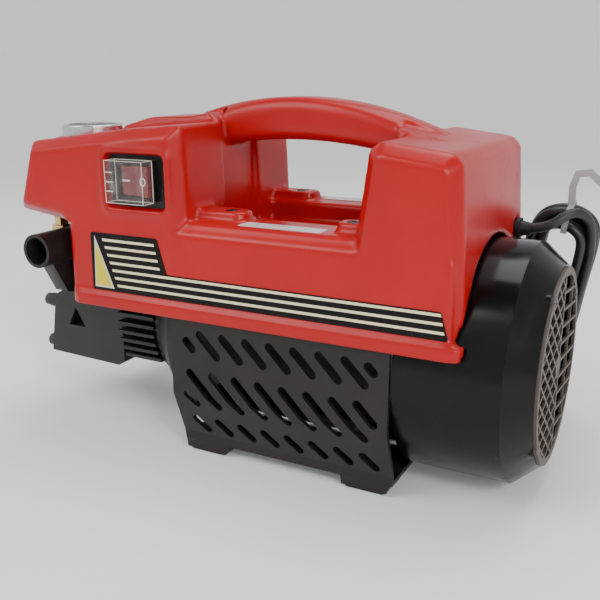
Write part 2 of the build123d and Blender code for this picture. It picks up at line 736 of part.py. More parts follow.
HEAD_TOP = 101.0
OUT_X, OUT_Z = INLET_X + 4, 68.0
FRONT_BOLTS = [(-40.0, 53.0), (40.0, 53.0), (-40.0, 88.0), (40.0, 88.0)]
with BuildPart() as pump_head:
    with BuildSketch(Plane.XZ.offset(-46)):
        with BuildLine():
            Polyline(
                [
                    (HEAD_X0, 46),
                    (HEAD_X0 + 8, 92),
                    (HEAD_X0 + 12, 97),
                    (HEAD_X0 + 20, HEAD_TOP),
                    (HEAD_X1, HEAD_TOP),
                    (HEAD_X1, 48),
                    (HEAD_X1 - 6, 44),
                ],
                close=True,
            )
        make_face()
    extrude(amount=92)
    chamfer(pump_head.edges().filter_by(Axis.Y).group_by(Axis.Z)[-1], length=2)
    # dark three-cornered pockets in both sides
    for side in (-1, 1):
        with BuildSketch(Plane.XZ.offset(side * 34)):
            with BuildLine():
                Polyline([(-167, 86.4), (-175, 71), (-158, 71)], close=True)
            make_face()
        extrude(amount=side * 20, mode=Mode.SUBTRACT)
    # round bosses for the four head bolts
    for y, z in FRONT_BOLTS:
        with BuildSketch(Plane.YZ.offset(-196)):
            with Locations((y, z)):
                Circle(5.6)
        extrude(amount=13)
    # plunger bores, seal seats and the bolts' holes
    for depth, radius in ((-34, 6.1), (-6, 9.4)):
        with BuildSketch(Plane.YZ.offset(HEAD_X1)):
            with Locations(plunger_places):
                Circle(radius)
        extrude(amount=depth, mode=Mode.SUBTRACT)
    with BuildSketch(Plane.YZ.offset(-200)):
        with Locations(FRONT_BOLTS):
            Circle(3.1)
    extrude(amount=80, mode=Mode.SUBTRACT)
    # ports: inlet on top, outlet on the far side, regulator on top, hose stub on top
    with BuildSketch(Plane.XY.offset(110)):
        with Locations((INLET_X, -38)):
            Circle(7)
    extrude(amount=-40, mode=Mode.SUBTRACT)
    with BuildSketch(Plane.XZ.offset(-60)):
        with Locations((OUT_X, OUT_Z)):
            Circle(8)
    extrude(amount=30, mode=Mode.SUBTRACT)
pump_head.part.label = "pump_head"
export_step(pump_head.part, "parts/pump_head.step")

with BuildPart() as head_bolts:
    with BuildSketch(Plane.YZ.offset(-201)):
        with Locations(FRONT_BOLTS):
            Circle(5)
    extrude(amount=5)
    with BuildSketch(Plane.YZ.offset(-201)):
        with Locations(FRONT_BOLTS):
            RegularPolygon(2.9, 6)
    extrude(amount=3, mode=Mode.SUBTRACT)
    with BuildSketch(Plane.YZ.offset(-196)):
        with Locations(FRONT_BOLTS):
            Circle(3)
    extrude(amount=70)
head_bolts.part.label = "head_bolts"
export_step(head_bolts.part, "parts/head_bolts.step")

VALVE_PLACES = [(-24.0, 68.0), (0.0, 68.0), (24.0, 68.0)]
with BuildPart() as valve_caps:
    lean = Plane(origin=(-192.2, 0, 68), x_dir=(0, 1, 0), z_dir=(-cos(radians(9.9)), 0, sin(radians(9.9))))
    with BuildSketch(lean):
        with Locations(*[(y, 0) for y, _ in VALVE_PLACES]):
            RegularPolygon(8.5, 6)
    extrude(amount=4.5)
valve_caps.part.label = "valve_caps"
export_step(valve_caps.part, "parts/valve_caps.step")

with BuildPart() as inlet_elbow:
    with BuildSketch(Plane.XZ.offset(38)):
        with Locations((INLET_X, INLET_Z)):
            Circle(INLET_R)
    extrude(amount=PORT_Y - 38)
    with BuildSketch(Plane.XY.offset(HEAD_TOP)):
        with Locations((INLET_X, -38)):
            Circle(13)
    with BuildSketch(Plane.XY.offset(INLET_Z + 4)):
        with Locations((INLET_X, -38)):
            Circle(12.5)
    loft()
    with BuildSketch(Plane.XY.offset(INLET_Z + 4)):
        with Locations((INLET_X, -38)):
            Circle(12.5)
    extrude(amount=8)
    # flat-ended stub that feeds the gauge
    with BuildSketch(Plane.YZ.offset(HOSE_X + 5)):
        with Locations((HOSE_Y, 148)):
            Circle(5.5)
    extrude(amount=11)
    # stiffening web under the spout
    with BuildSketch(Plane.YZ.offset(INLET_X - 6)):
        with BuildLine():
            Polyline([(-84, 134), (-70, 108), (-52, 102), (-38, 102), (-38, 138), (-84, 138)], close=True)
        make_face()
    extrude(amount=12)
    for y0, radius in ((64, INLET_BORE), (36, INLET_BORE - 2)):
        with BuildSketch(Plane.XZ.offset(y0)):
            with Locations((INLET_X, INLET_Z)):
                Circle(radius)
        extrude(amount=PORT_Y - 36, mode=Mode.SUBTRACT)
    with BuildSketch(Plane.XY.offset(90)):
        with Locations((INLET_X, -38)):
            Circle(7)
    extrude(amount=INLET_Z - 90, mode=Mode.SUBTRACT)
inlet_elbow.part.label = "inlet_elbow"
export_step(inlet_elbow.part, "parts/inlet_elbow.step")

with BuildPart() as inlet_filter:
    with BuildSketch(Plane.XZ.offset(61.8)):
        with Locations((INLET_X, INLET_Z)):
            Circle(INLET_BORE - 2.1)
            for k in (-1, 0, 1):
                with Locations((0, 4 * k)):
                    Rectangle(2 * sqrt(49 - (4 * k) ** 2) - 1, 2.6, mode=Mode.SUBTRACT)
    extrude(amount=2)
inlet_filter.part.label = "inlet_filter"
export_step(inlet_filter.part, "parts/inlet_filter.step")

with BuildPart() as outlet_fitting:
    for start, length, radius, sides in ((-30, 16, 7.9, 0), (-46, 12, 14, 6), (-58, 14, 9, 0), (-72, 21, 11, 0)):
        with BuildSketch(Plane.XZ.offset(start)):
            with Locations((OUT_X, OUT_Z)):
                if sides:
                    RegularPolygon(radius, sides)
                else:
                    Circle(radius)
        extrude(amount=-length)
    for k in range(6):
        with BuildSketch(Plane.XZ.offset(-75 - 2.6 * k)):
            with Locations((OUT_X, OUT_Z)):
                Circle(12)
                Circle(10.3, mode=Mode.SUBTRACT)
        extrude(amount=-1.2, mode=Mode.SUBTRACT)
    with BuildSketch(Plane.XZ.offset(-29)):
        with Locations((OUT_X, OUT_Z)):
            Circle(5)
    extrude(amount=-90, mode=Mode.SUBTRACT)
outlet_fitting.part.label = "outlet_fitting"
export_step(outlet_fitting.part, "parts/outlet_fitting.step")

REG_X, REG_Y = -160.0, 20.0
with BuildPart() as regulator_body:
    for z0, height, radius, sides in ((HEAD_TOP, 9, 13, 6), (110, 15.5, 10, 0), (125.5, 14, 4, 0)):
        with BuildSketch(Plane.XY.offset(z0)):
            with Locations((REG_X, REG_Y)):
                if sides:
                    RegularPolygon(radius, sides)
                else:
                    Circle(radius)
        extrude(amount=height)
regulator_body.part.label = "regulator_body"
export_step(regulator_body.part, "parts/regulator_body.step")

with BuildPart() as regulator_knob:
    with BuildSketch(Plane.XY.offset(126)):
        with Locations((REG_X, REG_Y)):
            Circle(15)
            with PolarLocations(15.6, 12):
                Circle(1.8, mode=Mode.SUBTRACT)
    extrude(amount=16)
    chamfer(regulator_knob.faces().sort_by(Axis.Z)[-1].edges(), length=1)
    with BuildSketch(Plane.XY.offset(125)):
        with Locations((REG_X, REG_Y)):
            Circle(4 + RUN)
    extrude(amount=14.8, mode=Mode.SUBTRACT)
regulator_knob.part.label = "regulator_knob"
export_step(regulator_knob.part, "parts/regulator_knob.step")

with BuildPart() as oil_plug:
    with BuildSketch(Plane.XY.offset(AXIS_Z + 38)):
        with Locations((-99, 0)):
            Circle(5)
    extrude(amount=24)
    with BuildSketch(Plane.XY.offset(AXIS_Z + 57)):
        with Locations((-99, 0)):
            RegularPolygon(9, 6)
    extrude(amount=7)
oil_plug.part.label = "oil_plug"
export_step(oil_plug.part, "parts/oil_plug.step")

# ---------------------------------------------------------------- pressure gauge
with BuildPart() as gauge_case:
    with BuildSketch(Plane.XY.offset(204)):
        with Locations(GAUGE_XY):
            Circle(20)
    extrude(amount=18.3)
    with BuildSketch(Plane.XY.offset(206)):
        with Locations(GAUGE_XY):
            Circle(18.5)
    extrude(amount=20, mode=Mode.SUBTRACT)
    with BuildSketch(Plane.XY.offset(206)):
        with Locations(GAUGE_XY):
            Circle(1.5)
    extrude(amount=14)
    with BuildSketch(Plane.XY.offset(194)):
        with Locations(GAUGE_XY):
            Circle(5.5)
    extrude(amount=10)
gauge_case.part.label = "gauge_case"
export_step(gauge_case.part, "parts/gauge_case.step")

with BuildPart() as gauge_bezel:
    with BuildSketch(Plane.XY.offset(GAUGE_SEAT_Z)):
        with Locations(GAUGE_XY):
            Circle(GAUGE_R)
            Circle(18.9, mode=Mode.SUBTRACT)
    extrude(amount=6.8)
    with BuildSketch(Plane.XY.offset(GAUGE_SEAT_Z + 6.8)):
        with Locations(GAUGE_XY):
            Circle(GAUGE_R)
            Circle(17.4, mode=Mode.SUBTRACT)
    extrude(amount=1.4)
    fillet(gauge_bezel.edges().filter_by(GeomType.CIRCLE).group_by(Axis.Z)[-1].sort_by(SortBy.RADIUS)[-1], radius=1.2)
gauge_bezel.part.label = "gauge_bezel"
export_step(gauge_bezel.part, "parts/gauge_bezel.step")

with BuildPart() as gauge_dial:
    with BuildSketch(Plane.XY.offset(219)):
        with Locations(GAUGE_XY):
            Circle(18.4)
            Circle(1.6, mode=Mode.SUBTRACT)
    extrude(amount=0.6)
gauge_dial.part.label = "gauge_dial"
export_step(gauge_dial.part, "parts/gauge_dial.step")

with BuildPart() as gauge_needle:
    with BuildSketch(Plane.XY.offset(220.4)):
        with Locations(GAUGE_XY):
            Circle(2.4)
            with Locations((-5.2, -5.2)):
                Rectangle(14, 0.9, rotation=45)
    extrude(amount=1)
gauge_needle.part.label = "gauge_needle"
export_step(gauge_needle.part, "parts/gauge_needle.step")

with BuildPart() as gauge_lens:
    with BuildSketch(Plane.XY.offset(GAUGE_SEAT_Z + 5.2)):
        with Locations(GAUGE_XY):
            Circle(18.8)
    extrude(amount=1.5)
gauge_lens.part.label = "gauge_lens"
export_step(gauge_lens.part, "parts/gauge_lens.step")

HOSE_R = 4.0
with BuildPart() as gauge_fitting:
    with BuildSketch(Plane.YZ.offset(HOSE_X - 6)):
        with Locations((HOSE_Y, 148)):
            RectangleRounded(11, 11, 2)
    extrude(amount=10.9)
    with BuildSketch(Plane.XY.offset(153.5)):
        with Locations((HOSE_X, HOSE_Y)):
            RegularPolygon(6, 6)
    extrude(amount=6.5)
gauge_fitting.part.label = "gauge_fitting"
export_step(gauge_fitting.part, "parts/gauge_fitting.step")

with BuildPart() as gauge_hose:
    with BuildLine() as hose_path:
        FilletPolyline(
            [(HOSE_X, HOSE_Y, 160), (HOSE_X, HOSE_Y, 185), (*GAUGE_XY, 185), (*GAUGE_XY, 194)],
            radius=6,
        )
    with BuildSketch(Plane(origin=hose_path.line @ 0, z_dir=hose_path.line % 0)):
        Circle(HOSE_R)
    sweep(path=hose_path.line)
gauge_hose.part.label = "gauge_hose"
export_step(gauge_hose.part, "parts/gauge_hose.step")

# ---------------------------------------------------------------- switch
SW_X0, SW_X1, SW_Z0, SW_Z1 = -85.5, -54.5, 183.5, 211.5
PIVOT_X, PIVOT_Y = -70.0, -76.0
HINGE_X, HINGE_Y = -87.4, -83.0
with BuildPart() as switch_housing:
    with BuildSketch(Plane.XZ.offset(-RECESS_Y)):
        with Locations((-71, 196.5)):
            RectangleRounded(48.2, 35.2, 2)
    extrude(amount=2.4)
    with BuildSketch(Plane.XZ.offset(-RECESS_Y)):
        with Locations((PIVOT_X, 197.5)):
            Rectangle(SW_X1 - SW_X0 - 0.4, SW_Z1 - SW_Z0 - 0.4)
    extrude(amount=7)
    with BuildSketch(Plane.XZ.offset(50)):
        with Locations((PIVOT_X, 197.5)):
            Rectangle(SW_BODY_W, SW_BODY_H)
    extrude(amount=26)
    # pocket that the rocker swings in
    with BuildSketch(Plane.XZ.offset(67)):
        with Locations((PIVOT_X, 197)):
            Rectangle(27.8, 21.8)
    extrude(amount=20, mode=Mode.SUBTRACT)
    # three grip ribs on the plate, lugs and pin of the clear cover's hinge
    for z in (191.5, 197.5, 203.5):
        with BuildSketch(Plane.XZ.offset(76)):
            with Locations((-92.6, z)):
                Rectangle(5, 1.4)
        extrude(amount=2.5)
    for z0, z1 in ((185.5, 189.7), (205.3, 209.5)):
        with BuildSketch(Plane.XY.offset(z0)):
            with Locations((HINGE_X, (HINGE_Y + RECESS_Y - 1) / 2)):
                Rectangle(2.8, RECESS_Y - HINGE_Y - 1 + 1.4)
            with Locations((HINGE_X, HINGE_Y)):
                Circle(1.4)
        extrude(amount=z1 - z0)
    with BuildSketch(Plane.XY.offset(186)):
        with Locations((HINGE_X, HINGE_Y)):
            Circle(0.8)
    extrude(amount=23)
switch_housing.part.label = "switch_housing"
export_step(switch_housing.part, "parts/switch_housing.step")

with BuildPart() as switch_rocker:
    with BuildSketch(Plane.XY.offset(186.6)):
        with BuildLine():
            Polyline(
                [
                    (PIVOT_X + x, PIVOT_Y + y)
                    for x, y in [(-13.2, -3), (0, -3.9), (11.6, -7), (13.2, -2), (8, 5), (-8, 5), (-13.2, 0)]
                ],
                close=True,
            )
        make_face()
    extrude(amount=20.8)
switch_rocker.part.label = "switch_rocker"
export_step(switch_rocker.part, "parts/switch_rocker.step")

CLEAR_T = 1.2
with BuildPart() as switch_cover:
    with BuildSketch(Plane.XZ.offset(81.3)):
        with Locations((PIVOT_X, 197.5)):
            RectangleRounded(SW_X1 - SW_X0, SW_Z1 - SW_Z0, 1.5)
    extrude(amount=11.7)
    with BuildSketch(Plane.XZ.offset(81)):
        with Locations((PIVOT_X, 197.5)):
            RectangleRounded(SW_X1 - SW_X0 - 2 * CLEAR_T, SW_Z1 - SW_Z0 - 2 * CLEAR_T, 1)
    extrude(amount=12 - CLEAR_T, mode=Mode.SUBTRACT)
    with BuildSketch(Plane.XY.offset(190)):
        with Locations((HINGE_X, HINGE_Y)):
            Circle(1.6)
        with Locations((HINGE_X + 1.2, HINGE_Y - 0.7)):
            Rectangle(1.8, 1.8)
    extrude(amount=15)
    with BuildSketch(Plane.XY.offset(189)):
        with Locations((HINGE_X, HINGE_Y)):
            Circle(0.8 + RUN)
    extrude(amount=17, mode=Mode.SUBTRACT)
switch_cover.part.label = "switch_cover"
export_step(switch_cover.part, "parts/switch_cover.step")

# ---------------------------------------------------------------- electrical pieces inside the cover
with BuildPart() as capacitor:
    with BuildSketch(Plane.XZ.offset(-34)):
        with Locations((122, 194)):
            Circle(16)
    extrude(amount=66)
    with BuildSketch(Plane.XZ.offset(32)):
        with Locations((122 - 6, 194), (122 + 6, 194)):
            Rectangle(6, 0.8)
    extrude(amount=7)
capacitor.part.label = "capacitor"
export_step(capacitor.part, "parts/capacitor.step")

with BuildPart() as capacitor_clip:
    with BuildSketch(Plane.XZ.offset(-8)):
        with Locations((122, 194)):
            Circle(17.4)
            Circle(16, mode=Mode.SUBTRACT)
        with Locations((122, 214)):
            Rectangle(5, 6)
    extrude(amount=14)
capacitor_clip.part.label = "capacitor_clip"
export_step(capacitor_clip.part, "parts/capacitor_clip.step")

WIRE_LOOM_R = 3.0
with BuildPart() as wiring_loom:
    with BuildLine() as loom_path:
        FilletPolyline(
            [
                (-70, -49.4, 197),
                (-70, -36, 197),
                (-68, 30, 192),
                (-60, 58, 174),
                (-48, 62, 156),
                (60, 62, 155),
                (100, 60, 160),
                (112, 56, 180),
                (119, 48, 192),
                (119, 36, 192),
            ],
            radius=5,
        )
    with BuildSketch(Plane(origin=loom_path.line @ 0, z_dir=loom_path.line % 0)):
        Circle(WIRE_LOOM_R)
    sweep(path=loom_path.line)
wiring_loom.part.label = "wiring_loom"
export_step(wiring_loom.part, "parts/wiring_loom.step")

# ---------------------------------------------------------------- mains cord
with BuildPart() as strain_relief:
    add(
        turned(
            [(146, 3.6), (146, 5.5), (156.6, 5.5), (156.6, 7.4), (159.2, 7.4), (159.2, 5.6), (166, 4.4), (166, 3.6)]
        ).moved(Location((0, GLAND_Y, GLAND_Z - AXIS_Z)))
    )
strain_relief.part.label = "strain_relief"
export_step(strain_relief.part, "parts/strain_relief.step")

with BuildPart() as cord_lead:
    add(cord_run(LEAD_ROUTE))
cord_lead.part.label = "cord_lead"
export_step(cord_lead.part, "parts/cord_lead.step")

with BuildPart() as cord_tail:
    add(cord_run(TAIL_ROUTE))
cord_tail.part.label = "cord_tail"
export_step(cord_tail.part, "parts/cord_tail.step")

tilt_s, tilt_c = sin(radians(HANK_TILT)), cos(radians(HANK_TILT))
lean_s, lean_c = sin(radians(HANK_LEAN)), cos(radians(HANK_LEAN))
HANK_ACROSS = (lean_c, lean_s * tilt_s, -lean_s * tilt_c)
HANK_ALONG = (lean_s, -lean_c * tilt_s, lean_c * tilt_c)
hank_plane = Plane(origin=HANK_C, x_dir=HANK_ACROSS, z_dir=(0, -tilt_c, -tilt_s))
with BuildPart() as cord_hank:
    with BuildSketch(hank_plane.offset(-HANK_T / 2)):
        SlotOverall(HANK_L, HANK_W, rotation=90)
        SlotOverall(HANK_L - 2 * HANK_BUNDLE, HANK_W - 2 * HANK_BUNDLE, rotation=90, mode=Mode.SUBTRACT)
    extrude(amount=HANK_T)
    fillet(cord_hank.faces().filter_by(GeomType.PLANE).sort_by(Axis.Y)[0].edges(), radius=6)
    fillet(cord_hank.faces().filter_by(GeomType.PLANE).sort_by(Axis.Y)[-1].edges(), radius=6)
cord_hank.part.label = "cord_hank"
export_step(cord_hank.part, "parts/cord_hank.step")

TIE_W = 4.0
tie_at = Vector(HANK_C) + Vector(HANK_ALONG) * 81
with BuildPart() as cord_tie:
    with BuildSketch(Plane(origin=tie_at, x_dir=(0, tilt_c, tilt_s), z_dir=HANK_ACROSS)):
        RectangleRounded(HANK_T + 3.4, HANK_BUNDLE + 3.4, 6.5)
        RectangleRounded(HANK_T + 1, HANK_BUNDLE + 1, 5.5, mode=Mode.SUBTRACT)
    extrude(amount=TIE_W / 2, both=True)
    # the free end of the strap, standing up and bent over
    with BuildSketch(Plane.XZ.offset(-tie_at.Y + 2.3)):
        with BuildLine():
            Polyline(
                [
                    (184.5, 174.6),
                    (184.5, 189),
                    (188, 199.5),
                    (199, 201),
                    (209, 192),
                    (205.5, 188.5),
                    (197.5, 195.8),
                    (191.5, 195),
                    (189.5, 188),
                    (189.5, 174.6),
                ],
                close=True,
            )
        make_face()
    extrude(amount=1.3)
cord_tie.part.label = "cord_tie"
export_step(cord_tie.part, "parts/cord_tie.step")

with BuildPart() as plug_body:
    with BuildSketch(Plane.YZ.offset(PLUG_X)):
        with Locations((PLUG_Y, PLUG_Z)):
            RectangleRounded(36, 22, 8)
    extrude(amount=9)
    with BuildSketch(Plane.YZ.offset(PLUG_X + 9)):
        with Locations((PLUG_Y, PLUG_Z)):
            RectangleRounded(32, 20, 8)
    with BuildSketch(Plane.YZ.offset(PLUG_X + 30)):
        with Locations((PLUG_Y, PLUG_Z)):
            RectangleRounded(15, 14, 6)
    loft()
    add(turned([(PLUG_X + 30, 0), (PLUG_X + 30, 6.6), (PLUG_X + 50, 4.8), (PLUG_X + 50, 0)]).moved(
        Location((0, PLUG_Y, PLUG_Z - AXIS_Z))
    ))
    with BuildSketch(Plane.YZ.offset(PLUG_X + 30.8)):
        with Locations((PLUG_Y, PLUG_Z)):
            Circle(CORD_R + 0.1)
    extrude(amount=20, mode=Mode.SUBTRACT)
plug_body.part.label = "plug_body"
export_step(plug_body.part, "parts/plug_body.step")

with BuildPart() as plug_pins:
    with BuildSketch(Plane.YZ.offset(PLUG_X - 17)):
        with Locations(Location((PLUG_Y - 7.9, PLUG_Z + 3.5), 30), Location((PLUG_Y + 7.9, PLUG_Z + 3.5), -30)):
            Rectangle(1.6, 6.3)
        with Locations((PLUG_Y, PLUG_Z - 5.4)):
            Rectangle(1.6, 6.3)
    extrude(amount=17)
plug_pins.part.label = "plug_pins"
export_step(plug_pins.part, "parts/plug_pins.step")
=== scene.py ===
"""Looks of a portable electric pressure washer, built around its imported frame.

Everything is in metres: +X runs along the motor shaft towards the fan, +Z is up and -Y is the switch side.
"""

import json
import logging
import math
from dataclasses import dataclass, field
from enum import Enum
from typing import Callable

import bmesh
import bpy
from mathutils import Matrix, Vector


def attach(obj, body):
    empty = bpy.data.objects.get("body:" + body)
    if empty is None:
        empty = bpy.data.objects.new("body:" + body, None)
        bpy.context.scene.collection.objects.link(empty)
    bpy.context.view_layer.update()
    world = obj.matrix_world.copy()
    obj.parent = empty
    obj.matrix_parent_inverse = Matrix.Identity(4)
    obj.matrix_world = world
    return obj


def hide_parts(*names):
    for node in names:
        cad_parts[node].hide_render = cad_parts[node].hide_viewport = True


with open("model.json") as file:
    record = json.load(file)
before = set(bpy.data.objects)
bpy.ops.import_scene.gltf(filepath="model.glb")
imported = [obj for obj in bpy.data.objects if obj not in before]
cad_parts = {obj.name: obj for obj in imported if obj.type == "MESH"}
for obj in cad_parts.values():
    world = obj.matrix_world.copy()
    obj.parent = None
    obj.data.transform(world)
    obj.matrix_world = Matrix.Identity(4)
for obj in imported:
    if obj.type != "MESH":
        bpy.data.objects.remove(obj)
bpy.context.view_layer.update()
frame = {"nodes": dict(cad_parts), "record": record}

logging.basicConfig(level=logging.INFO, format="%(message)s")
LOG = logging.getLogger("washer")

Point = tuple[float, float, float]
Colour = tuple[float, float, float]
Outline = list[tuple[float, float]]


class Body(Enum):
    """The bodies of the frame that pieces ride on."""

    MACHINE = "machine"
    ROCKER = "rocker"
    SWITCH_GUARD = "switch_guard"
    KNOB = "knob"


# ------------------------------------------------------------------ shader arithmetic
class Signal:
    """A shader socket that takes part in Python arithmetic."""

    def __init__(self, graph: "Graph", socket: bpy.types.NodeSocket) -> None:
        """Keeps the graph and the socket."""
        self.graph = graph
        self.socket = socket

    def _math(self, operation: str, *values: object) -> "Signal":
        """Adds one Math node of the given operation."""
        return self.graph.node("ShaderNodeMath", {"operation": operation}, dict(enumerate(values)))

    def __add__(self, other: object) -> "Signal":
        """Sum."""
        return self._math("ADD", self, other)

    def __radd__(self, other: object) -> "Signal":
        """Sum with a plain number on the left."""
        return self._math("ADD", other, self)

    def __sub__(self, other: object) -> "Signal":
        """Difference."""
        return self._math("SUBTRACT", self, other)

    def __rsub__(self, other: object) -> "Signal":
        """Difference with a plain number on the left."""
        return self._math("SUBTRACT", other, self)

    def __mul__(self, other: object) -> "Signal":
        """Product."""
        return self._math("MULTIPLY", self, other)

    def __rmul__(self, other: object) -> "Signal":
        """Product with a plain number on the left."""
        return self._math("MULTIPLY", other, self)

    def clamped(self) -> "Signal":
        """The signal held between zero and one."""
        return self.graph.node("ShaderNodeClamp", {}, {"Value": self})


class Graph:
    """One material's node tree, with a single way to add a node."""

    def __init__(self, name: str) -> None:
        """Makes an empty node material.

        Args:
            name: The material's name.
        """
        self.material = bpy.data.materials.new(name)
        self.material.use_nodes = True
        self.tree = self.material.node_tree
        self.tree.nodes.clear()
        self.output = self.tree.nodes.new("ShaderNodeOutputMaterial")
        self.place = self.node("ShaderNodeTexCoord", {}, {}, out="Object")

    def node(self, kind: str, settings: dict, inputs: dict, out: object = 0) -> Signal:
        """Adds a node.

        Args:
            kind: The node's type name.
            settings: Its own properties, set first.
            inputs: Values or signals for its sockets, by name or number.
            out: The output wanted, by name or number.

        Returns:
            The chosen output as a signal.
        """
        made = self.tree.nodes.new(kind)
        for key, value in settings.items():
            setattr(made, key, value)
        for key, value in inputs.items():
            if isinstance(value, Signal):
                self.tree.links.new(value.socket, made.inputs[key])
            else:
                made.inputs[key].default_value = value
        return Signal(self, made.outputs[out])

    def noise(self, scale: float, detail: float = 3.0, stretch: Point = (1, 1, 1)) -> Signal:
        """Fractal noise on object coordinates.

        Args:
            scale: Cells per metre.
            detail: Octaves.
            stretch: Scale of the pattern along each axis.

        Returns:
            The noise, from zero to one.
        """
        where = self.node("ShaderNodeMapping", {}, {"Vector": self.place, "Scale": stretch})
        return self.node("ShaderNodeTexNoise", {}, {"Vector": where, "Scale": scale, "Detail": detail})

    def ramp(self, signal: Signal, low: float, high: float) -> Signal:
        """The signal remapped so that low gives zero and high gives one."""
        return self.node("ShaderNodeMapRange", {}, {"Value": signal, 1: low, 2: high})

    def mix(self, factor: object, first: object, second: object) -> Signal:
        """A colour mix of two colours or signals."""
        first = (*first, 1.0) if isinstance(first, tuple) else first
        second = (*second, 1.0) if isinstance(second, tuple) else second
        return self.node("ShaderNodeMix", {"data_type": "RGBA"}, {0: factor, 6: first, 7: second}, out=2)

    def bump(self, height: Signal, distance: float, strength: float) -> Signal:
        """A bump normal from a height signal."""
        return self.node(
            "ShaderNodeBump", {}, {"Height": height, "Distance": distance, "Strength": strength}, out="Normal"
        )

    def surface(self, **sockets: object) -> bpy.types.Material:
        """Closes the tree with a Principled shader.

        Args:
            **sockets: Socket names with underscores for spaces, and their values or signals.

        Returns:
            The finished material.
        """
        named = {key.replace("_", " "): value for key, value in sockets.items()}
        for key, value in named.items():
            if isinstance(value, tuple) and len(value) == 3:
                named[key] = (*value, 1.0)
        shader = self.node("ShaderNodeBsdfPrincipled", {}, named)
        self.tree.links.new(shader.socket, self.output.inputs["Surface"])
        return self.material


# ------------------------------------------------------------------ finishes
@dataclass(frozen=True)
class Moulded:
    """Moulded plastic or rubber: uneven colour, fine spark grain, soft waves, rubbed patches and dust."""

    name: str
    colour: Colour
    shade: Colour
    rough: float = 0.4
    grain: float = 2600.0
    grain_depth: float = 0.00002
    coat: float = 0.0
    dust: float = 0.05
    shine: float = 0.3
    glow: float = 0.0

    def make(self) -> bpy.types.Material:
        """Builds the material."""
        g = Graph(self.name)
        cloud = g.ramp(g.noise(9.0, 4.0), 0.35, 0.65)
        flow = g.ramp(g.noise(34.0, 3.0, (1, 1, 0.4)), 0.4, 0.7)
        fine = g.noise(self.grain, 2.0)
        rub = g.ramp(g.noise(60.0, 6.0), 0.56, 0.7)
        speck = g.ramp(g.noise(900.0, 2.0), 0.66, 0.74)
        base = g.mix(cloud * 0.7 + flow * 0.3, self.colour, self.shade)
        pale = tuple(min(1.0, 0.85 * c + 0.04) for c in self.colour)
        base = g.mix((rub * 0.10 + speck * self.dust).clamped(), base, pale)
        rough = self.rough + 0.10 * (cloud - 0.5) + 0.07 * rub + 0.05 * (fine - 0.5)
        height = fine * 0.6 + g.noise(self.grain * 0.37, 2.0) * 0.4
        glowing = {"Emission_Color": base, "Emission_Strength": self.glow} if self.glow else {}
        return g.surface(
            Base_Color=base,
            Roughness=rough.clamped(),
            Specular_IOR_Level=self.shine,
            Coat_Weight=self.coat,
            Coat_Roughness=0.12,
            Normal=g.bump(height, self.grain_depth, 0.55),
            **glowing,
        )


@dataclass(frozen=True)
class Metal:
    """Cast, turned or plated metal with stains, brushing along one axis and tiny pits."""

    name: str
    colour: Colour
    shade: Colour
    rough: float = 0.35
    metallic: float = 1.0
    brush: Point = (1, 1, 1)
    cast: float = 0.00003

    def make(self) -> bpy.types.Material:
        """Builds the material."""
        g = Graph(self.name)
        stain = g.ramp(g.noise(40.0, 5.0), 0.4, 0.7)
        lines = g.noise(700.0, 3.0, self.brush)
        pits = g.ramp(g.noise(1500.0, 2.0), 0.6, 0.75)
        base = g.mix(stain * 0.8 + lines * 0.2, self.colour, self.shade)
        rough = self.rough + 0.15 * stain + 0.12 * (lines - 0.5) + 0.1 * pits
        return g.surface(
            Base_Color=base,
            Metallic=self.metallic,
            Roughness=rough.clamped(),
            Normal=g.bump(lines * 0.5 - pits * 0.5, self.cast, 0.6),
        )


@dataclass(frozen=True)
class Clear:
    """Clear glass or polycarbonate with a tint and faint haze."""

    name: str
    tint: Colour
    alpha: float
    rough: float = 0.06

    def make(self) -> bpy.types.Material:
        """Builds the material."""
        g = Graph(self.name)
        haze = g.ramp(g.noise(120.0, 5.0), 0.5, 0.75)
        return g.surface(
            Base_Color=g.mix(haze * 0.4, self.tint, (0.95, 0.95, 0.93)),
            Roughness=(self.rough + 0.12 * haze).clamped(),
            Alpha=(self.alpha + 0.06 * haze).clamped(),
            Specular_IOR_Level=0.3,
        )


@dataclass(frozen=True)
class Jacket:
    """A cord's rubber jacket: dull, with faint cross ripples and rubbed patches."""

    name: str
    colour: Colour = (0.012, 0.012, 0.013)

    def make(self) -> bpy.types.Material:
        """Builds the material."""
        g = Graph(self.name)
        rub = g.ramp(g.noise(70.0, 5.0), 0.5, 0.75)
        fine = g.noise(1400.0, 3.0)
        return g.surface(
            Base_Color=g.mix(rub * 0.5, self.colour, (0.045, 0.044, 0.043)),
            Roughness=(0.38 + 0.2 * rub + 0.08 * (fine - 0.5)).clamped(),
            Normal=g.bump(fine, 0.00004, 0.5),
        )


